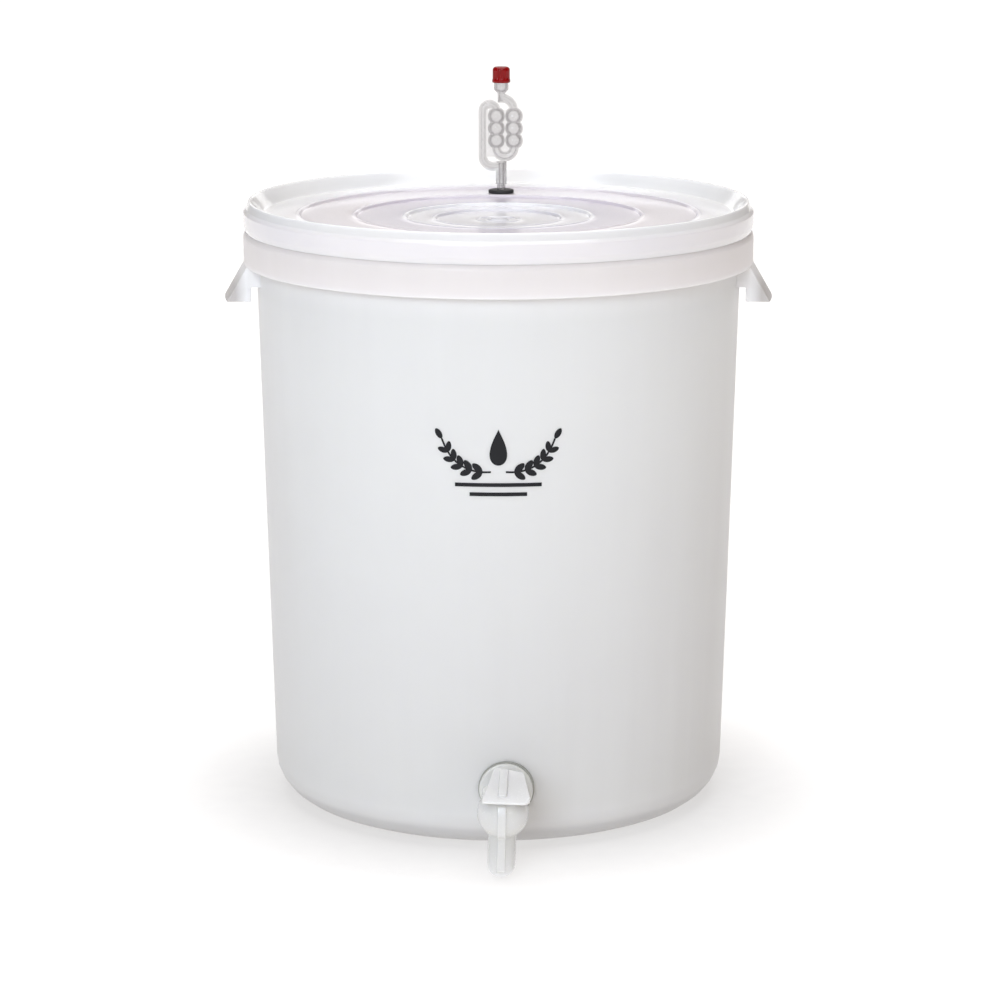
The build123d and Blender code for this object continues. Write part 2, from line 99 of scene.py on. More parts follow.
# ---- airlock's place, grommet and cap ----
AIRLOCK_AXIS = (2.0, 118.0)
GROMMET_TOP = 425.3
GROMMET_SEAT = 422.8        # the lid's surface under the grommet's flange
GROMMET_R = 9.5
GROMMET_NECK_R = 5.95
GROMMET_BARB_R = 8.2
GROMMET_FOOT_R = 7.4
GROMMET_BARB = 2.4
STEM_BORE_R = 3.2
CAP_FOOT = 79.7             # the cap's heights are above the grommet's top
CAP_TOP = 91.4
CAP_R = 6.5
CAP_LIP_R = 6.8
CAP_BORE_R = 5.75
CAP_ROOF = 1.2
CAP_FLUTES = 16
CAP_FLUTE_DEPTH = 0.35
CAP_FLUTED_R = 6.2          # only what lies outside this radius is fluted

# ---- tap ----
TAP_Z = 46.0
TAP_AZIMUTH = 1.9
TAP_YAW = -4.4
TAP_ROLL = 1.5
TAP_HOLE_R = 13.6
TAIL_R = 13.2
TAIL_ROOT_R = 12.5
TAIL_BORE_R = 6.5
TAIL_LENGTH = 21.0
THREAD_PITCH = 2.4
FLANGE_SEAT = 2.2
FLANGE_R = 18.6
FLANGE_THICK = 3.2
NECK_R = 10.5
BARREL_OUT = 55.0
BARREL_R = 17.5
BARREL_COLLAR_R = 14.5
BARREL_TOP = 13.0
SPOUT_R = 9.6
SPOUT_BORE_R = 7.5
SPOUT_TIP = -42.8
SPOUT_CUT = 36.0
RIDGE_WIDTH = 5.7
RIDGE_PROUD = 1.4
RIDGE_STOP = 4.5            # the band ends this far above the spout's tip
PLUG_R = 11.0
PLUG_FOOT = -10.5
PLUG_GAP = 0.4
PLUG_PASSAGE_R = 7.0
HEAD_THICK = 3.0
LEVER_TOP = 25.0
LEVER_SLOPE = 24.0
LEVER_UNDER_SLOPE = 13.3
LEVER_FRONT = 24.0
LEVER_TIP_THICK = 2.5
LEVER_RIB = 1.6

# ---- printed emblem, by distance round the wall from its front and height ----
INK = 0.12                  # the ink stands this far off the wall
DROP_MIDDLE = 287.5
DROP_HUB = 284.0
DROP_HALF_TALL = 12.5
DROP_HALF_WIDE = 8.2
STEM_START = (5.0, 270.5)
STEM_BEND = (30.0, 268.5)
STEM_TIP = (38.5, 293.0)
STEM_STEPS = 24
STEM_WIDTH = 1.3
GRAIN_STEPS = range(3, 23, 4)   # where along the stem the pairs of grains grow
GRAIN_LEAN = 38
GRAIN_LONG = 9.0
GRAIN_SHRINK = 0.08         # each step up the stem takes this much off a grain
TIP_GRAIN_LONG = 8.0
BARS = ((261.5, 29.5), (255.0, 19.5))   # height and half length of each bar
BAR_HALF_STEPS = 16
BAR_WIDTH = 2.6

# ---- studio, in metres and degrees, with the lens and sensor in millimetres ----
CAMERA_SPOT = (0.0011, -2.4194, 0.7514)
CAMERA_DOWN = 12.535
CAMERA_LENS = 122.65
CAMERA_SENSOR = 36.0
LIT_MIDDLE = (0, 0, 0.25)   # what the two main lamps are aimed at
FLOOR_HALF = 30.0
FLOOR_GLOW_NEAR = 0.85
FLOOR_GLOW_FAR = 1.0
FLOOR_GLOW_REACH = (0.5, 1.8)
FLOOR_SHADE = 0.72          # share of the glow that is left right beside the bucket, a painted contact shadow
FLOOR_SHADE_REACH = (0.155, 0.25)
WORLD_TINT = (1.0, 0.945, 0.91, 1)
WORLD_AHEAD = 0.46          # brightness of the surroundings in front and behind
WORLD_ASIDE = 0.04          # and to either side, where dark screens stand

# ---- tints ----
# Shares of the rim's height, from the base up, and the plastic's colour there, with painted shade and light
# in it: darkest at the foot, lighter upwards, lightest just under the collar, and warmer on the collar.
WALL_TINT_AND_PAINTED_SHADE = ((0.0, (0.60, 0.59, 0.57)), (0.010, (0.65, 0.64, 0.62)), (0.030, (0.66, 0.65, 0.635)),
              (0.038, (0.78, 0.77, 0.75)), (0.060, (0.85, 0.84, 0.825)), (0.30, (0.86, 0.85, 0.845)),
              (0.75, (0.92, 0.915, 0.91)), (0.88, (0.93, 0.925, 0.92)), (0.915, (0.98, 0.97, 0.965)),
              (0.93, (0.91, 0.855, 0.84)), (1.0, (0.91, 0.855, 0.84)))
# colour of the painted shade on the handles
HANDLE_PAINTED_SHADE = (0.54, 0.515, 0.485, 1)
HANDLE_PAINTED_SHADE_REACH = (0.1825, 0.190)     # metres from the axis over which the painted shade on the handles sets in
# Shares of the lid's radius, from the middle out, and the plastic's colour there: a lilac tint with painted
# shade across the dished panel and on the skirt, and painted highlights along the steps and on the rim.
LID_TINT_AND_PAINTED_LIGHT = ((0.0, (0.58, 0.565, 0.61)), (0.09, (0.70, 0.685, 0.73)), (0.25, (0.66, 0.64, 0.70)),
             (0.365, (0.80, 0.79, 0.84)), (0.385, (0.56, 0.52, 0.62)), (0.55, (0.62, 0.57, 0.66)),
             (0.575, (0.69, 0.625, 0.675)), (0.77, (0.68, 0.625, 0.68)), (0.80, (0.78, 0.75, 0.80)),
             (0.93, (0.98, 0.97, 0.98)), (0.97, (0.98, 0.97, 0.98)), (0.986, (0.90, 0.88, 0.89)),
             (1.0, (0.81, 0.77, 0.785)))


def wall_r(z):
    """Outside radius of the bucket's wall at height z, in millimetres."""
    return WALL_FOOT_R + (z - CORNER_R) * WALL_TAPER


# ------------------------------------------------------------------ mesh helpers

def rounded(corners, closed=False, share=0.49):
    """Outline points from (x, y, radius) corners, each corner turned into an arc of that radius.

    An arc takes up at most the given share of the straight runs beside it."""
    points = []
    count = len(corners)
    for index, (x, y, radius) in enumerate(corners):
        here = Vector((x, y))
        at_end = not closed and index in (0, count - 1)
        if radius == 0 or at_end:
            points.append(here)
            continue
        to_last = Vector(corners[index - 1][:2]) - here
        to_next = Vector(corners[(index + 1) % count][:2]) - here
        half = to_last.angle(to_next) / 2
        reach = min(radius / tan(half), share * to_last.length, share * to_next.length)
        radius = reach * tan(half)
        centre = here + (to_last.normalized() + to_next.normalized()).normalized() * radius / sin(half)
        first = here + to_last.normalized() * reach - centre
        last = here + to_next.normalized() * reach - centre
        sweep = atan2(first.x * last.y - first.y * last.x, first.dot(last))
        steps = max(2, ceil(abs(sweep) / radians(ARC_STEP)))
        for step in range(steps + 1):
            turn = sweep * step / steps
            points.append(centre + Vector((first.x * cos(turn) - first.y * sin(turn),
                                           first.x * sin(turn) + first.y * cos(turn))))
    return points


def divided(points, longest, closed=False):
    """The same outline with no straight run longer than the given length."""
    result = []
    last = len(points) if closed else len(points) - 1
    for index in range(last):
        start, end = points[index], points[(index + 1) % len(points)]
        pieces = max(1, ceil((end - start).length / longest))
        for piece in range(pieces):
            result.append(start.lerp(end, piece / pieces))
    if not closed:
        result.append(points[-1])
    return result


def new_piece(name, bm):
    """A mesh object from a bmesh, with its faces turned outwards."""
    bmesh.ops.remove_doubles(bm, verts=bm.verts, dist=SAME_POINT)
    bmesh.ops.recalc_face_normals(bm, faces=bm.faces)
    mesh = bpy.data.meshes.new(name)
    bm.to_mesh(mesh)
    bm.free()
    piece = bpy.data.objects.new(name, mesh)
    bpy.context.scene.collection.objects.link(piece)
    return piece


def gathered(name, pieces):
    """One mesh object from several, which are used up."""
    bm = bmesh.new()
    for piece in pieces:
        bm.from_mesh(piece.data)
        bpy.data.objects.remove(piece)
    return new_piece(name, bm)


def prism(name, outline, low, high):
    """Closed upright solid from a flat outline in millimetres."""
    bm = bmesh.new()
    loops = [[bm.verts.new((x * MM, y * MM, z * MM)) for x, y in outline] for z in (low, high)]
    skin(bm, loops)
    for loop in loops:
        bm.faces.new(loop)
    return new_piece(name, bm)


def cut_away(piece, point, normal):
    """Remove everything on the side of a plane that the normal points to, and close the cut."""
    bm = bmesh.new()
    bm.from_mesh(piece.data)
    everything = bm.verts[:] + bm.edges[:] + bm.faces[:]
    cut = bmesh.ops.bisect_plane(
        bm, geom=everything, plane_co=Vector(point) * MM, plane_no=normal, clear_outer=True)
    rim = [part for part in cut["geom_cut"] if isinstance(part, bmesh.types.BMEdge)]
    bmesh.ops.holes_fill(bm, edges=rim, sides=0)
    bm.to_mesh(piece.data)
    bm.free()


def shade(piece, angle=32):
    """Smooth shading with crisp edges where faces meet more sharply than angle."""
    piece.data.shade_smooth()
    piece.data.set_sharp_from_angle(angle=radians(angle))
    return piece


def skin(bm, loops, closed_across=True, closed_along=False):
    """Quads between neighbouring loops of vertices; a loop of one vertex is a pole."""
    pairs = list(zip(loops, loops[1:]))
    if closed_along:
        pairs.append((loops[-1], loops[0]))
    for low, high in pairs:
        count = max(len(low), len(high))
        for index in range(count if closed_across else count - 1):
            after = (index + 1) % count
            if len(low) == 1:
                bm.faces.new((low[0], high[after], high[index]))
            elif len(high) == 1:
                bm.faces.new((low[index], low[after], high[0]))
            else:
                bm.faces.new((low[index], low[after], high[after], high[index]))


def lathe(name, outline, segments=SMALL_ROUND, shape=None):
    """Turned solid about Z from (radius, height) points in millimetres.

    The outline closes on itself or ends on the axis. shape(radius, height, angle) may change the
    radius at each angle."""
    bm = bmesh.new()
    loops = []
    for radius, height in outline:
        if radius < ON_AXIS:
            loops.append([bm.verts.new((0, 0, height * MM))])
            continue
        loop = []
        for index in range(segments):
            angle = 2 * pi * index / segments
            out = shape(radius, height, angle) if shape else radius
            loop.append(bm.verts.new((out * cos(angle) * MM, out * sin(angle) * MM, height * MM)))
        loops.append(loop)
    skin(bm, loops, closed_along=outline[0][0] > ON_AXIS)
    return new_piece(name, bm)


def rod(name, radius, low, high):
    """Plain round solid about Z."""
    return lathe(name, [Vector((0, low)), Vector((radius, low)), Vector((radius, high)), Vector((0, high))])


def bake_modifiers(piece):
    """Apply every modifier to the piece's own mesh."""
    view = bpy.context.evaluated_depsgraph_get()
    mesh = bpy.data.meshes.new_from_object(piece.evaluated_get(view))
    piece.modifiers.clear()
    piece.data = mesh
    return piece


def combine(piece, tool, operation, solver="EXACT"):
    """Boolean of piece with tool, which is used up."""
    modifier = piece.modifiers.new("combine", "BOOLEAN")
    modifier.operation = operation
    modifier.object = tool
    modifier.solver = solver
    bake_modifiers(piece)
    bpy.data.objects.remove(tool)


def soften(piece, voxel, passes):
    """Remesh a solid and smooth it, so that joints between its shapes become moulded fillets."""
    remesh = piece.modifiers.new("remesh", "REMESH")
    remesh.mode = "VOXEL"
    remesh.voxel_size = voxel * MM
    smooth = piece.modifiers.new("smooth", "SMOOTH")
    smooth.factor = 0.5
    smooth.iterations = passes
    return bake_modifiers(piece)


def bevel(piece, width, angle=40):
    """Add a modifier that rounds edges sharper than angle."""
    modifier = piece.modifiers.new("bevel", "BEVEL")
    modifier.width = width * MM
    modifier.segments = 3
    modifier.limit_method = "ANGLE"
    modifier.angle_limit = radians(angle)


def place(piece, matrix):
    """Move the piece's vertices, so that its object stays at the origin of the row frame."""
    piece.data.transform(matrix)
    return piece


def shift(x, y, z):
    return Matrix.Translation(Vector((x, y, z)) * MM)


def spin(axis, angle):
    return Matrix.Rotation(radians(angle), 4, axis)


def tap_matrix():
    """From the tap's own frame, wall at Y = 0 and axis along -Y, to the row frame."""
    seat = wall_r(TAP_Z)
    turn = radians(TAP_AZIMUTH)
    spot = shift(seat * sin(turn), -seat * cos(turn), TAP_Z)
    return spot @ spin("Z", TAP_AZIMUTH + TAP_YAW) @ spin("Y", TAP_ROLL)


# ------------------------------------------------------------------ materials

def feed(tree, socket, value):
    """Link a socket to another node's output, or set its value."""
    if isinstance(value, bpy.types.NodeSocket):
        tree.links.new(value, socket)
    else:
        socket.default_value = value


def add_node(tree, kind, settings=None, **sockets):
    """A shader node with its settings, and a value or another node's output for each named socket."""
    node = tree.nodes.new(kind)
    for key, value in (settings or {}).items():
        setattr(node, key, value)
    for key, value in sockets.items():
        feed(tree, node.inputs[key.replace("_", " ")], value)
    return node


def start_material(name, **sockets):
    """A material with one Principled shader, and the place in the row frame for its textures."""
    material = bpy.data.materials.new(name)
    material.use_nodes = True
    tree = material.node_tree
    shader = tree.nodes["Principled BSDF"]
    for key, value in sockets.items():
        shader.inputs[key.replace("_", " ")].default_value = value
    place_node = add_node(tree, "ShaderNodeTexCoord")
    return material, tree, shader, place_node.outputs["Object"]


def noise(tree, where, scale, detail=3.0, stretch=None):
    """Noise with an optional stretch of its axes."""
    if stretch:
        where = add_node(tree, "ShaderNodeMapping", Vector=where, Scale=stretch).outputs["Vector"]
    return add_node(tree, "ShaderNodeTexNoise", Vector=where, Scale=scale, Detail=detail).outputs["Fac"]


def span(tree, value, low, high, to_low=0.0, to_high=1.0):
    """Map a value's range to another range."""
    node = add_node(tree, "ShaderNodeMapRange", Value=value, From_Min=low, From_Max=high, To_Min=to_low,
                    To_Max=to_high)
    return node.outputs["Result"]


def mix_colours(tree, factor, first, second, blend="MIX"):
    """Mix two colours; a Mix node keeps its colour sockets behind those for numbers and vectors."""
    node = add_node(tree, "ShaderNodeMix", {"data_type": "RGBA", "blend_type": blend})
    for index, value in ((0, factor), (6, first), (7, second)):
        feed(tree, node.inputs[index], value)
    return node.outputs[2]


def graded(tree, value, stops):
    """Colour that runs through (position, colour) stops as a value grows from 0 to 1."""
    node = add_node(tree, "ShaderNodeValToRGB", Fac=value)
    ends = node.color_ramp.elements
    for end, (position, colour) in zip(ends, (stops[0], stops[-1])):
        end.position = position
        end.color = (*colour, 1)
    for position, colour in stops[1:-1]:
        ends.new(position).color = (*colour, 1)
    return node.outputs["Color"]


def maths(tree, operation, first, second=0.0):
    """One sum on two values, each a number or another node's output."""
    node = add_node(tree, "ShaderNodeMath", {"operation": operation})
    for socket, value in zip(node.inputs, (first, second)):
        feed(tree, socket, value)
    return node.outputs[0]


def axis_distance(tree, axes):
    """Distance from the upright axis, in metres."""
    squares = [maths(tree, "MULTIPLY", axes.outputs[name], axes.outputs[name]) for name in ("X", "Y")]
    return maths(tree, "SQRT", maths(tree, "ADD", *squares))


def bump(tree, shader, height, strength, distance):
    """Fine relief on the shader's surface."""
    node = add_node(tree, "ShaderNodeBump", Height=height, Strength=strength, Distance=distance)
    tree.links.new(node.outputs["Normal"], shader.inputs["Normal"])


def milky_plastic(name, light, dark, roughness=0.36, gloss=0.25, coat=0.0, body=0.45, grain=0.00003,
                  tint_and_shade=None):
    """Natural plastic: cloudy, slightly see-through in the depth, with faint flow marks.

    The tint function, if given, returns a colour by place, which may hold painted shade and light, that the
    plastic's own colour is multiplied by."""
    material, tree, shader, where = start_material(
        name, Subsurface_Weight=body, Subsurface_Radius=(0.012, 0.012, 0.014), Subsurface_Scale=1.0,
        Specular_IOR_Level=gloss, Coat_Weight=coat, Coat_Roughness=0.12)
    clouds = noise(tree, where, 5.0)
    flow = noise(tree, where, 10.0, stretch=(6.0, 6.0, 0.35))
    colour = mix_colours(tree, span(tree, clouds, 0.3, 0.7), light, dark)
    colour = mix_colours(tree, span(tree, flow, 0.35, 0.75, 0.0, 0.5), colour, light)
    if tint_and_shade:
        axes = add_node(tree, "ShaderNodeSeparateXYZ", Vector=where)
        colour = mix_colours(tree, 1.0, colour, tint_and_shade(tree, axes), "MULTIPLY")
    tree.links.new(colour, shader.inputs["Base Color"])
    fine = noise(tree, where, 900.0, detail=4.0)
    tree.links.new(span(tree, fine, 0.3, 0.7, roughness - 0.05, roughness + 0.05),
                   shader.inputs["Roughness"])
    bump(tree, shader, fine, 0.25, grain)
    return material


def bucket_material():
    """The wall's colour holds painted shade and light: darkest at the foot, brightest near the top and just
    under the collar. The collar is warmer, and the handles are darker with painted shade.
    """
    def tint_and_shade(tree, axes):
        # painted shade at the foot and painted light up the wall and under the collar, with the collar's
        # warmer colour
        shade_and_tint_by_height = graded(tree, maths(tree, "DIVIDE", axes.outputs["Z"], RIM_TOP * MM), WALL_TINT_AND_PAINTED_SHADE)
        # how much of the handles' painted shade applies, by distance from the axis
        handle_shade_share = span(tree, axis_distance(tree, axes), *HANDLE_PAINTED_SHADE_REACH)
        return mix_colours(tree, handle_shade_share, shade_and_tint_by_height, HANDLE_PAINTED_SHADE)

    return milky_plastic("natural_polypropylene_painted_shade", light=(0.90, 0.90, 0.915, 1), dark=(0.85, 0.845, 0.86, 1),
                         gloss=0.12, tint_and_shade=tint_and_shade)


def lid_material():
    """The lid's plastic, in darker and more lilac rings across the dished panel than at the rim: painted
    shade on the panel and skirt, and painted highlights along the steps and on the rim, over a lilac tint.
    """
    material, tree, shader, where = start_material(
        "lid_polypropylene_painted_light", Subsurface_Weight=0.35, Subsurface_Radius=(0.01, 0.01, 0.012),
        Subsurface_Scale=1.0, Specular_IOR_Level=0.5, Coat_Weight=0.35, Coat_Roughness=0.08)
    axes = add_node(tree, "ShaderNodeSeparateXYZ", Vector=where)
    # painted shade and painted highlights, ring by ring, over the lid's lilac tint
    rings = graded(tree, maths(tree, "DIVIDE", axis_distance(tree, axes), LID_R * MM), LID_TINT_AND_PAINTED_LIGHT)
    clouds = noise(tree, where, 9.0)
    cloudy = mix_colours(tree, span(tree, clouds, 0.3, 0.7), (1.0, 1.0, 1.0, 1), (0.94, 0.95, 0.97, 1))
    tree.links.new(mix_colours(tree, 1.0, rings, cloudy, "MULTIPLY"), shader.inputs["Base Color"])
    fine = noise(tree, where, 700.0, detail=4.0)
    tree.links.new(span(tree, fine, 0.3, 0.7, 0.12, 0.19), shader.inputs["Roughness"])
    bump(tree, shader, fine, 0.2, 0.00003)
    return material


def rubber_material(name, light, dark):
    """Dull rubber with a fine speckle."""
    material, tree, shader, where = start_material(name, Specular_IOR_Level=0.35)
    speckle = noise(tree, where, 1200.0, detail=5.0)
    tree.links.new(mix_colours(tree, speckle, light, dark), shader.inputs["Base Color"])
    tree.links.new(span(tree, speckle, 0.3, 0.7, 0.45, 0.65), shader.inputs["Roughness"])
    bump(tree, shader, speckle, 0.3, 0.00005)
    return material


def clear_material():
    """Clear polystyrene: see-through face on, greyer where the wall is seen edge on, a painted shade in place
    of refraction.
    """
    material, tree, shader, where = start_material(
        "clear_polystyrene", Specular_IOR_Level=0.5, Coat_Weight=0.6, Coat_Roughness=0.04)
    haze = noise(tree, where, 300.0)
    # grey that shows where the wall is seen edge on: painted shade standing in for refraction
    tree.links.new(mix_colours(tree, haze, (0.46, 0.43, 0.425, 1), (0.39, 0.365, 0.36, 1)),
                   shader.inputs["Base Color"])
    tree.links.new(span(tree, haze, 0.3, 0.7, 0.06, 0.14), shader.inputs["Roughness"])
    edge = add_node(tree, "ShaderNodeLayerWeight", Blend=0.42)
    tree.links.new(span(tree, edge.outputs["Facing"], 0.15, 0.95, 0.17, 0.92), shader.inputs["Alpha"])
    return material


def cap_material():
    """Deep red glossy plastic."""
    material, tree, shader, where = start_material(
        "red_polyethylene", Subsurface_Weight=0.15, Subsurface_Radius=(0.004, 0.001, 0.001),
        Specular_IOR_Level=0.15, Coat_Weight=0.2, Coat_Roughness=0.04)
    cloud = noise(tree, where, 220.0)
    tree.links.new(mix_colours(tree, cloud, (0.33, 0.0, 0.001, 1), (0.18, 0.0, 0.001, 1)),
                   shader.inputs["Base Color"])
    tree.links.new(span(tree, cloud, 0.3, 0.7, 0.14, 0.24), shader.inputs["Roughness"])
    bump(tree, shader, cloud, 0.15, 0.0001)
    return material


def tap_material():
    return milky_plastic("tap_polyethylene", light=(0.72, 0.71, 0.70, 1), dark=(0.65, 0.645, 0.63, 1),
                         roughness=0.24, gloss=0.5, coat=0.3, body=0.75, grain=0.000008)


def ink_material():
    """Screen-printed black ink."""
    material, tree, shader, where = start_material("print_ink", Specular_IOR_Level=0.2)
    weave = noise(tree, where, 1500.0, detail=4.0)
    tree.links.new(mix_colours(tree, weave, (0.008, 0.008, 0.010, 1), (0.016, 0.016, 0.018, 1)),
                   shader.inputs["Base Color"])
    tree.links.new(span(tree, weave, 0.3, 0.7, 0.4, 0.6), shader.inputs["Roughness"])
    return material


def floor_material():
    """White table that glows, so that it stays white far behind the bucket, and glows less close to it as a
    painted contact shadow.
    """
    material, tree, shader, where = start_material("studio_floor", Roughness=0.9, Specular_IOR_Level=0.1)
    paper = noise(tree, where, 60.0)
    tree.links.new(mix_colours(tree, paper, (0.24, 0.24, 0.24, 1), (0.20, 0.20, 0.205, 1)),
                   shader.inputs["Base Color"])
    axes = add_node(tree, "ShaderNodeSeparateXYZ", Vector=where)
    glow = span(tree, axis_distance(tree, axes), *FLOOR_GLOW_REACH, FLOOR_GLOW_NEAR, FLOOR_GLOW_FAR)
    # painted contact shadow round the bucket's foot
    painted_shadow_share = span(tree, axis_distance(tree, axes), *FLOOR_SHADE_REACH, FLOOR_SHADE, 1.0)
    tree.links.new(maths(tree, "MULTIPLY", glow, painted_shadow_share), shader.inputs["Emission Strength"])
    shader.inputs["Emission Color"].default_value = (1.0, 0.985, 0.975, 1)
    return material


# ------------------------------------------------------------------ pieces

def bucket_outline():
    """Section of the bucket from the middle of its underside up the outside and down the inside."""
    floor = BASE_RAISE + BASE
    inner_foot = wall_r(floor) - WALL
    collar_inner = COLLAR_R - COLLAR_WALL
    roof = SHOULDER - COLLAR_WALL
    slope = COLLAR_R - SHOULDER_R
    inset = COLLAR_WALL / 2
    bead_foot = RIM_TOP - RIM_BEAD_DEPTH
    underside = [(0, BASE_RAISE - GATE_DEPTH, 0), (GATE_R - 1.5, BASE_RAISE - GATE_DEPTH, 0.4),
                 (GATE_R, BASE_RAISE, 0.6), (FOOT_INNER_R - BASE_RAISE, BASE_RAISE, 2.0),
                 (FOOT_INNER_R, 0, 1.5)]
    outside = [(wall_r(0), 0, CORNER_R), (wall_r(roof), roof, 1.5)]
    collar = [(collar_inner + inset - slope, roof, 1.5), (collar_inner, COLLAR_TOP - inset, 1.5),
              (collar_inner, COLLAR_FOOT, 0.8), (COLLAR_R, COLLAR_FOOT, 1.0), (COLLAR_R, COLLAR_TOP, 4.0),
              (SHOULDER_R, SHOULDER, 0.15), (wall_r(SHOULDER), SHOULDER, 1.0)]
    rim = [(wall_r(SHOULDER), bead_foot - 2.0, 1.0), (RIM_BEAD_R, bead_foot, 0.8),
           (RIM_BEAD_R, RIM_TOP, 1.6), (wall_r(RIM_TOP) - WALL, RIM_TOP, 0.9)]
    inside = [(inner_foot, floor, CORNER_R - WALL), (GATE_R, floor, 0.5),
              (GATE_R - 1.0, floor + GATE_RISE, 0.4), (0, floor + GATE_RISE, 0)]
    return divided(rounded(underside + outside + collar + rim + inside, share=FOOT_SHARE), longest=12.0)


def handle_levels():
    """Heights of the handle's rows of vertices, each with its outer radius and its webs' inner end.

    The webs stop at the notch's side below the notch's top and run into the wall above it. The top
    rows lie inside the collar. None is level with the collar's roof, because the union would fail."""
    def flared_r(z):
        return HANDLE_TIP_R - (z - HANDLE_FOOT) * HANDLE_FLARE

    def web_root(z):
        return sqrt((wall_r(z) - WALL / 2) ** 2 - HANDLE_HALF ** 2)

    levels = []
    notch_rows = 4
    for step in range(notch_rows + 1):
        z = HANDLE_FOOT + (NOTCH_TOP - HANDLE_FOOT) * step / notch_rows
        levels.append((z, flared_r(z), NOTCH_X))
    web_rows = 5
    for step in range(web_rows + 1):
        z = NOTCH_TOP + (COLLAR_FOOT - NOTCH_TOP) * step / web_rows
        levels.append((z, flared_r(z), web_root(z)))
    buried = COLLAR_R - COLLAR_WALL / 2
    for z, outer_r in ((COLLAR_FOOT + 1.5, buried + 0.3), (SHOULDER - 2.8, buried),
                       (SHOULDER - 1.5, SHOULDER_R - 0.4)):
        levels.append((z, outer_r, web_root(z)))
    return levels


def handle(side):
    """One flared grip: a curved plate with a web at each end, open below, as a closed solid."""
    across = HANDLE_WALL * hypot(1.0, HANDLE_FLARE)
    inner_half = HANDLE_HALF - HANDLE_WALL
    bm = bmesh.new()
    loops = []
    for z, outer_r, root_x in handle_levels():
        points = [(root_x, -HANDLE_HALF)]
        for step in range(HANDLE_COLUMNS + 1):
            y = HANDLE_HALF * (2 * step / HANDLE_COLUMNS - 1)
            points.append((sqrt(outer_r ** 2 - y ** 2), y))
        points.append((root_x, HANDLE_HALF))
        points.append((root_x, inner_half))
        for step in range(HANDLE_COLUMNS + 1):
            y = inner_half * (1 - 2 * step / HANDLE_COLUMNS)
            points.append((sqrt((outer_r - across) ** 2 - y ** 2), y))
        points.append((root_x, -inner_half))
        loops.append([bm.verts.new((side * x * MM, y * MM, z * MM)) for x, y in points])
    skin(bm, loops)
    half = len(loops[0]) // 2
    for loop in (loops[0], loops[-1]):
        for index in range(half - 1):
            other = len(loop) - 1 - index
            bm.faces.new((loop[index], loop[index + 1], loop[other - 1], loop[other]))
    piece = new_piece("handle", bm)
    bevel(piece, 0.7, angle=50)
    return bake_modifiers(piece)


def make_bucket():
    piece = lathe("bucket_shell", bucket_outline(), ROUND)
    for side in (1, -1):
        combine(piece, handle(side), "UNION")
    hole = rod("hole", TAP_HOLE_R, -30, 30)
    combine(piece, place(hole, tap_matrix() @ spin("X", 90)), "DIFFERENCE")
    return shade(piece)


def lid_outline():
    """Section of the lid from the middle of its top, out over the crest and back under to the middle."""
    top = [(0, 419.0, 0), (4.6, 419.0, 0.5), (5.6, 419.7, 0.5), (7.0, 419.7, 0.5), (8.0, 418.7, 0.8),
           (12.5, 418.7, 0.8), (13.6, 419.5, 0.5), (15.0, 419.5, 0.5), (16.4, 418.8, 0.8)]
    steps = list(reversed(LID_STEPS))
    for (radius, level), (_, above) in zip(steps, steps[1:]):
        top += [(radius - 2.4, level, 1.0), (radius - 1.0, above + LID_BEAD_RISE, 0.8),
                (radius + 0.6, above + LID_BEAD_RISE, 0.8), (radius + 1.8, above, 1.0)]
    panel_r, panel_top = LID_STEPS[0]
    crest = [(panel_r, panel_top, 2.0), (175.6, LID_CREST - 0.6, 1.6), (176.6, LID_CREST, 0.6),
             (178.0, LID_CREST, 0.9), (179.9, 428.8, 1.5)]
    skirt = [(LID_R, 426.6, 1.6), (LID_R, LID_HEM + LID_HEM_RISE, 4.0), (LID_HEM_R, LID_HEM, 0.15),
             (LID_SKIRT_INNER_R, LID_HEM, 0.5)]
    groove = [(LID_SKIRT_INNER_R, LID_GROOVE_TOP, 0.8), (176.6, LID_GROOVE_TOP, 0.5),
              (LID_PLUG_R, 425.6, 0.8)]
    plug_inner_r = LID_PLUG_R - LID_WALL
    under = panel_top - LID_WALL
    plug = [(LID_PLUG_R, LID_PLUG_FOOT, 0.6), (plug_inner_r, LID_PLUG_FOOT, 0.6), (plug_inner_r, under, 1.0)]
    below = []
    for radius, level in LID_STEPS[1:]:
        below += [(radius, under, 1.0), (radius - 2.0, level - LID_WALL, 1.0)]
        under = level - LID_WALL
    below.append((0, under, 0))
    return divided(rounded(top + crest + skirt + groove + plug + below), longest=6.0)


def make_lid():
    piece = lathe("lid_shell", lid_outline(), ROUND)
    hole = rod("hole", LID_HOLE_R, 410, 430)
    combine(piece, place(hole, shift(*AIRLOCK_AXIS, 0)), "DIFFERENCE")
    return shade(piece, angle=40)


def make_seal():
    """Rubber ring in the groove of the lid, lower on its inner side."""
    low = RIM_TOP + SEAL_FOOT
    inner = LID_PLUG_R + 0.6
    corners = [(inner, low, 0.4), (SEAL_OUTER_R, low, 0.4), (SEAL_OUTER_R, low + SEAL_TALL, 0.4),
               (SEAL_OUTER_R - SEAL_TOP_WIDTH, low + SEAL_TALL, 0.4), (inner, low + SEAL_INNER_TALL, 0.4)]
    return shade(lathe("lid_gasket", rounded(corners, closed=True), ROUND))


def make_grommet():
    """Rubber ring with a flange over the lid, a neck through it and a barb under it."""
    seat = GROMMET_SEAT - GROMMET_TOP
    barb = seat - LID_WALL
    foot = barb - GROMMET_BARB
    corners = [(STEM_BORE_R, 0, 0.4), (GROMMET_R, 0, 1.1), (GROMMET_R, seat, 0.5), (GROMMET_NECK_R, seat, 0),
               (GROMMET_NECK_R, barb, 0), (GROMMET_BARB_R, barb, 0.3), (GROMMET_FOOT_R, foot, 0.8),
               (STEM_BORE_R, foot, 0.3)]
    piece = lathe("grommet_ring", rounded(corners, closed=True))
    return shade(place(piece, shift(*AIRLOCK_AXIS, GROMMET_TOP)))


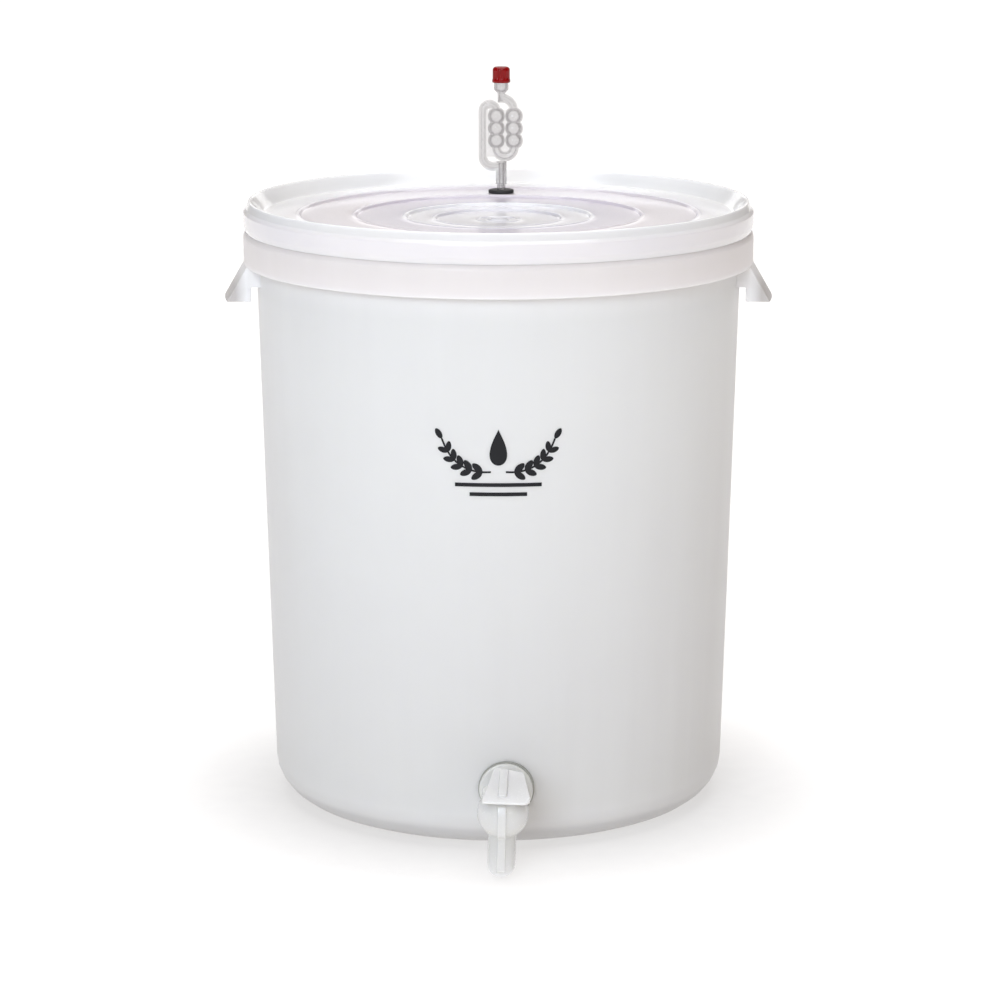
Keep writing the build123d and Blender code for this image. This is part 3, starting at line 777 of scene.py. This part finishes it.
def make_cap():
    """Red cap with flutes down its side, open below."""
    def fluted(radius, height, angle):
        if radius < CAP_FLUTED_R:
            return radius
        fade_in = min(1.0, max(0.0, (height - CAP_FOOT - 2.2) / 1.2))
        fade_out = min(1.0, max(0.0, CAP_TOP - 1.0 - height))
        wave = (0.5 + 0.5 * cos(CAP_FLUTES * angle)) ** 2
        return radius - CAP_FLUTE_DEPTH * fade_in * fade_out * wave

    outside = [(0, CAP_TOP, 0), (CAP_R - 0.05, CAP_TOP, 2.6), (CAP_R, CAP_FOOT + 2.4, 0.5),
               (CAP_LIP_R, CAP_FOOT + 1.8, 0.3), (CAP_LIP_R, CAP_FOOT, 0.4)]
    inside = [(CAP_BORE_R, CAP_FOOT, 0.3), (CAP_BORE_R, CAP_TOP - CAP_ROOF, 0.6), (0, CAP_TOP - CAP_ROOF, 0)]
    piece = lathe("cap_shell", divided(rounded(outside + inside), longest=0.8), 2 * SMALL_ROUND, fluted)
    return shade(place(piece, shift(*AIRLOCK_AXIS, GROMMET_TOP)), angle=60)


def make_airlock():
    """The two welded halves as one clear shell, without the faces where they meet."""
    seam_y = AIRLOCK_AXIS[1] * MM
    on_seam = 1e-6
    weld_reach = 1e-5
    bm = bmesh.new()
    for node in ("airlock_front_half", "airlock_rear_half"):
        half = bpy.data.meshes.new_from_object(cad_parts[node])
        half.transform(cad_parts[node].matrix_world)
        bm.from_mesh(half)
        bpy.data.meshes.remove(half)
    inside_weld = [face for face in bm.faces if all(abs(vert.co.y - seam_y) < on_seam for vert in face.verts)]
    bmesh.ops.delete(bm, geom=inside_weld, context="FACES")
    bmesh.ops.remove_doubles(bm, verts=bm.verts, dist=weld_reach)
    return shade(new_piece("airlock_shell", bm), angle=40)


def tail_thread():
    """Threaded tail of the tap, about Z, with its bore."""
    def threaded(radius, height, angle):
        if radius < TAIL_ROOT_R:
            return radius
        turn = (height / THREAD_PITCH - angle / (2 * pi)) % 1.0
        crest = min(1.0, max(0.0, 1.8 - 4.5 * abs(turn - 0.5)))
        fade = min(1.0, max(0.0, height - FLANGE_SEAT + TAIL_LENGTH) / 1.5)
        return radius + (TAIL_R - TAIL_ROOT_R) * crest * fade

    back = FLANGE_SEAT - TAIL_LENGTH
    corners = [(TAIL_BORE_R, back, 0.4), (TAIL_ROOT_R, back, 0.8), (TAIL_ROOT_R, FLANGE_SEAT, 0),
               (TAIL_BORE_R, FLANGE_SEAT, 0)]
    outline = divided(rounded(corners, closed=True), longest=0.3, closed=True)
    return lathe("tail", outline, shape=threaded)


def barrel_outline():
    """Section of the ball, its collar and the spout, from the top down."""
    waist = sqrt(BARREL_R ** 2 - SPOUT_R ** 2)
    shoulder = sqrt(BARREL_R ** 2 - BARREL_COLLAR_R ** 2)
    points = rounded([(0, BARREL_TOP, 0), (BARREL_COLLAR_R, BARREL_TOP, 0.8), (BARREL_COLLAR_R, shoulder, 0)])
    start, end = asin(shoulder / BARREL_R), -asin(waist / BARREL_R)
    steps = 32
    for step in range(1, steps + 1):
        turn = start + (end - start) * step / steps
        points.append(Vector((BARREL_R * cos(turn), BARREL_R * sin(turn))))
    return points + [Vector((SPOUT_R, SPOUT_TIP - 4)), Vector((0, SPOUT_TIP - 4))]


def side_on(piece):
    """Turn a flat outline of (distance in front of the barrel's axis, height) to stand across X."""
    return place(piece, Matrix(((0, 0, -1, 0), (-1, 0, 0, 0), (0, 1, 0, 0), (0, 0, 0, 1))))


def barrel_ridge():
    """Raised band down the front of the ball and spout."""
    outer = BARREL_R + RIDGE_PROUD
    spout = SPOUT_R + RIDGE_PROUD
    waist = -asin(sqrt(outer ** 2 - spout ** 2) / outer)
    start = asin((BARREL_TOP - 4.0) / outer)
    buried = 4.0
    end = SPOUT_TIP + RIDGE_STOP
    outline = [(buried, outer * sin(start))]
    steps = 24
    for step in range(steps + 1):
        turn = start + (waist - start) * step / steps
        outline.append((outer * cos(turn), outer * sin(turn)))
    outline += [(spout, end), (SPOUT_R - 1.0, end - 2.4), (buried, end - 2.4)]
    return side_on(prism("ridge", outline, -RIDGE_WIDTH / 2, RIDGE_WIDTH / 2))


def mouth_knife():
    """What the slanted mouth takes off the end of the spout."""
    front, back, below = SPOUT_R + 3.0, -SPOUT_R - 1.0, SPOUT_TIP - 10.0
    slant = tan(radians(SPOUT_CUT))
    outline = [(front, SPOUT_TIP + (SPOUT_R - front) * slant), (back, SPOUT_TIP + (SPOUT_R - back) * slant),
               (back, below), (front, below)]
    return side_on(prism("knife", outline, -SPOUT_R - 2, SPOUT_R + 2))


def make_tap_body():
    """Flange, neck, barrel and spout melted together, then bored and given its threaded tail."""
    forward = spin("X", 90)
    to_barrel = shift(0, -BARREL_OUT, 0)
    front = FLANGE_SEAT + FLANGE_THICK
    flange = lathe("flange", rounded([(0, FLANGE_SEAT, 0), (FLANGE_R, FLANGE_SEAT, 0.5),
                                      (FLANGE_R, front, 1.0), (0, front, 0)]))
    neck = rod("neck", NECK_R, FLANGE_SEAT + 1, BARREL_OUT)
    barrel = lathe("barrel", barrel_outline())
    parts = [place(flange, forward), place(neck, forward), place(barrel, to_barrel),
             place(barrel_ridge(), to_barrel)]
    piece = soften(gathered("tap_moulding", parts), voxel=0.35, passes=5)
    plug_seat = rod("seat", PLUG_R + 0.05, PLUG_FOOT - PLUG_GAP, BARREL_TOP + 2)
    spout_bore = rod("spout", SPOUT_BORE_R, SPOUT_TIP - 9, PLUG_FOOT)
    tail_bore = rod("bore", TAIL_BORE_R, -9, BARREL_OUT)
    for tool, matrix in ((mouth_knife(), to_barrel), (plug_seat, to_barrel), (spout_bore, to_barrel),
                         (tail_bore, forward)):
        combine(piece, place(tool, matrix), "DIFFERENCE", "MANIFOLD")
    piece = gathered("tap_moulding", [piece, place(tail_thread(), forward)])
    return shade(place(piece, tap_matrix()), angle=50)


def lever_outline():
    """Lopsided fan seen from above, with its front edge towards -Y."""
    return rounded([(-6.6, 9.0, 2.5), (13.2, 5.0, 3.0), (18.8, -19.0, 2.5), (15.5, -LEVER_FRONT, 2.5),
                    (-14.0, -LEVER_FRONT, 2.0)], closed=True)


def make_tap_valve():
    """Plug, head and fan-shaped lever melted together, with the elbow passage through the plug."""
    head_foot = BARREL_TOP + PLUG_GAP
    slope, under = radians(LEVER_SLOPE), radians(LEVER_UNDER_SLOPE)
    tip_under = LEVER_TOP - tan(slope) * LEVER_FRONT - LEVER_TIP_THICK
    lever = prism("lever", lever_outline(), BARREL_TOP, BARREL_TOP + 2 * LEVER_FRONT)
    cut_away(lever, (0, 0, LEVER_TOP), (0, -sin(slope), cos(slope)))
    cut_away(lever, (0, -LEVER_FRONT, tip_under), (0, sin(under), -cos(under)))
    half, front, back = RIDGE_WIDTH / 2, 3.0 - LEVER_FRONT, 6.5
    rib_outline = rounded([(-half, front, 1.5), (half, front, 1.5), (half, back, 1.0), (-half, back, 1.0)],
                          closed=True)
    rib = prism("rib", rib_outline, -LEVER_RIB, LEVER_RIB)
    place(rib, shift(0, 0, LEVER_TOP) @ spin("X", LEVER_SLOPE))
    head_top, stalk_top = head_foot + HEAD_THICK, 20.0
    head = lathe("head", rounded([(0, head_foot, 0), (BARREL_COLLAR_R, head_foot, 0.6),
                                  (BARREL_COLLAR_R, head_top, 1.0), (9.5, head_top, 1.5),
                                  (9.0, stalk_top, 0), (0, stalk_top, 0)]))
    plug = lathe("plug", rounded([(0, PLUG_FOOT, 0), (PLUG_R, PLUG_FOOT, 0.5), (PLUG_R, head_foot + 1, 0),
                                  (0, head_foot + 1, 0)]))
    piece = soften(gathered("tap_lever", [lever, rib, head, plug]), voxel=0.3, passes=6)
    passage = rod("passage", PLUG_PASSAGE_R, PLUG_FOOT - 2, 0)
    inlet = place(rod("inlet", TAIL_BORE_R, -PLUG_R - 2, 3), spin("X", 90))
    for tool in (passage, inlet):
        combine(piece, tool, "DIFFERENCE", "MANIFOLD")
    return shade(place(piece, tap_matrix() @ shift(0, -BARREL_OUT, 0)), angle=50)


# ------------------------------------------------------------------ printed emblem

def on_wall(across, height, proud):
    """Point on the front wall: across is measured round the wall from the middle, in millimetres."""
    radius = wall_r(height) + proud
    turn = across / wall_r(height)
    return Vector((radius * sin(turn), -radius * cos(turn), height)) * MM


def ribbon(bm, points, width):
    """Band of ink along a line of points."""
    rails = []
    for index, here in enumerate(points):
        before, after = points[max(index - 1, 0)], points[min(index + 1, len(points) - 1)]
        along = (after - before).normalized()
        side = Vector((-along.y, along.x)) * width / 2
        rails.append([bm.verts.new(on_wall(*spot, INK)) for spot in (here + side, here - side)])
    skin(bm, rails, closed_across=False)


def blot(bm, middle, outline):
    """Filled spot of ink from an outline round its middle."""
    hub = bm.verts.new(on_wall(*middle, INK))
    ring = [bm.verts.new(on_wall(*point, INK)) for point in outline]
    skin(bm, [[hub], ring])


def grain(bm, root, lean, size):
    """One pointed grain leaning at an angle from its root."""
    outline = []
    axis = Vector((sin(radians(lean)), cos(radians(lean))))
    across = Vector((axis.y, -axis.x))
    steps = 20
    for step in range(steps):
        turn = 2 * pi * step / steps
        swell = 0.26 * sin(turn) * (0.75 + 0.25 * abs(sin(turn)))
        outline.append(root + axis * size * (0.5 - 0.5 * cos(turn)) + across * size * swell)
    blot(bm, root + axis * size / 2, outline)


def bowed(start, bend, end, steps):
    """Points along a curve from start to end that leans towards bend."""
    points = []
    for step in range(steps + 1):
        along = step / steps
        points.append(start.lerp(bend, along).lerp(bend.lerp(end, along), along))
    return points


def ear(bm, side):
    """Ear of grain that sweeps out and up from under the drop."""
    marks = [Vector((side * across, height)) for across, height in (STEM_START, STEM_BEND, STEM_TIP)]
    stem = bowed(*marks, STEM_STEPS)
    ribbon(bm, stem, STEM_WIDTH)
    for index in GRAIN_STEPS:
        along = stem[index + 1] - stem[index - 1]
        heading = degrees(atan2(along.x, along.y))
        for lean in (-GRAIN_LEAN, GRAIN_LEAN):
            grain(bm, stem[index], heading + lean, GRAIN_LONG - GRAIN_SHRINK * index)
    grain(bm, stem[-1], heading, TIP_GRAIN_LONG)


def make_print():
    """Plain emblem of a drop between two ears of grain, over two bars."""
    bm = bmesh.new()
    drop = []
    steps = 40
    for step in range(steps):
        turn = 2 * pi * step / steps
        pinch = sin(turn / 2) ** 1.3
        drop.append(Vector((DROP_HALF_WIDE * sin(turn) * pinch, DROP_MIDDLE + DROP_HALF_TALL * cos(turn))))
    blot(bm, Vector((0, DROP_HUB)), drop)
    for side in (-1, 1):
        ear(bm, side)
    for height, reach in BARS:
        shares = [step / BAR_HALF_STEPS - 1 for step in range(2 * BAR_HALF_STEPS + 1)]
        ribbon(bm, [Vector((reach * share, height)) for share in shares], BAR_WIDTH)
    piece = new_piece("print_emblem", bm)
    thick = piece.modifiers.new("ink", "SOLIDIFY")
    thick.thickness = INK * MM
    thick.offset = 0.0
    return piece


# ------------------------------------------------------------------ finishing

def dress(piece, body, slot, material, *nodes):
    """Give a piece its material and body, and hide the CAD nodes that it stands for; the slot is not used."""
    piece.data.materials.clear()
    piece.data.materials.append(material)
    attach(piece, body)
    if nodes:
        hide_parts(*nodes)


def dress_node(node, material, bevel_width=0.0):
    """Keep a CAD node, with softened edges and a better material."""
    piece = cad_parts[node]
    piece.data.materials.clear()
    piece.data.materials.append(material)
    for face in piece.data.polygons:
        face.material_index = 0
    if bevel_width:
        weld = piece.modifiers.new("weld", "WELD")
        weld.merge_threshold = 1e-6
        bevel(piece, bevel_width)


def make_floor():
    bm = bmesh.new()
    bmesh.ops.create_grid(bm, x_segments=4, y_segments=4, size=FLOOR_HALF)
    floor = new_piece("studio_floor", bm)
    floor.data.materials.append(floor_material())


def area_light(name, power, size, spot, target=LIT_MIDDLE, colour=(1, 1, 1)):
    """Soft rectangular lamp at a spot, aimed at a target."""
    light = bpy.data.lights.new(name, "AREA")
    light.shape = "RECTANGLE"
    light.size, light.size_y = size
    light.energy = power
    light.color = colour
    lamp = bpy.data.objects.new(name, light)
    lamp.location = spot
    lamp.rotation_euler = (Vector(target) - Vector(spot)).to_track_quat("-Z", "Y").to_euler()
    bpy.context.scene.collection.objects.link(lamp)


def make_world():
    """Soft surroundings, darker to the left and right, which shades the edges of a round white bucket."""
    world = bpy.data.worlds.new("studio")
    world.use_nodes = True
    tree = world.node_tree
    direction = add_node(tree, "ShaderNodeTexCoord").outputs["Generated"]
    axes = add_node(tree, "ShaderNodeSeparateXYZ", Vector=direction)
    aside = maths(tree, "ABSOLUTE", axes.outputs["X"])
    back = tree.nodes["Background"]
    tree.links.new(span(tree, aside, 0.2, 1.0, WORLD_AHEAD, WORLD_ASIDE), back.inputs["Strength"])
    back.inputs["Color"].default_value = WORLD_TINT
    bpy.context.scene.world = world


def make_lights():
    """A bluish key from the left, a weak warm fill on the right, and soft light from above and behind."""
    area_light("overhead", power=46, size=(2.4, 2.4), spot=(0, 0.2, 2.6))
    area_light("key_left", power=52.5, size=(1.2, 1.6), spot=(-0.79, -2.9, 1.4), colour=(0.80, 0.89, 1.0))
    area_light("fill_right", power=3, size=(0.5, 0.9), spot=(1.5, -2.2, 0.8), target=(0.1, 0, 0.36),
               colour=(1.0, 0.78, 0.58))
    area_light("back_panel", power=4, size=(2.4, 0.5), spot=(0, 3.2, 1.15), target=(0, 0, 0.43))


def make_camera():
    camera = bpy.data.cameras.new("camera")
    camera.lens = CAMERA_LENS
    camera.sensor_width = CAMERA_SENSOR
    holder = bpy.data.objects.new("camera", camera)
    holder.location = CAMERA_SPOT
    holder.rotation_euler = (radians(90 - CAMERA_DOWN), 0, 0)
    bpy.context.scene.collection.objects.link(holder)
    bpy.context.scene.camera = holder
    bpy.context.scene.view_settings.view_transform = "Standard"


make_camera()
make_world()
make_lights()
make_floor()

dress(make_bucket(), "bucket", "bucket", bucket_material(), "bucket_body")
dress(make_lid(), "lid", "lid", lid_material(), "lid")
seal_rubber = rubber_material("seal_rubber", light=(0.62, 0.62, 0.60, 1), dark=(0.55, 0.55, 0.53, 1))
dress(make_seal(), "lid", "seal", seal_rubber, "lid_seal")
black_rubber = rubber_material("grommet_rubber", light=(0.018, 0.018, 0.02, 1), dark=(0.03, 0.03, 0.032, 1))
dress(make_grommet(), "lid", "grommet", black_rubber, "airlock_grommet")
dress(make_cap(), "cap", "cap", cap_material(), "airlock_cap")
dress(make_airlock(), "airlock", "airlock", clear_material(), "airlock_front_half", "airlock_rear_half")
dress(make_print(), "bucket", "print", ink_material())
white_tap = tap_material()
dress(make_tap_body(), "bucket", "tap", white_tap, "tap_body")
dress(make_tap_valve(), "valve", "tap", white_tap, "tap_valve")
dress_node("tap_backnut", white_tap, bevel_width=0.5)
washer_rubber = rubber_material("washer_rubber", light=(0.38, 0.38, 0.34, 1), dark=(0.31, 0.31, 0.28, 1))
for node in ("tap_outer_washer", "tap_inner_washer"):
    dress_node(node, washer_rubber)
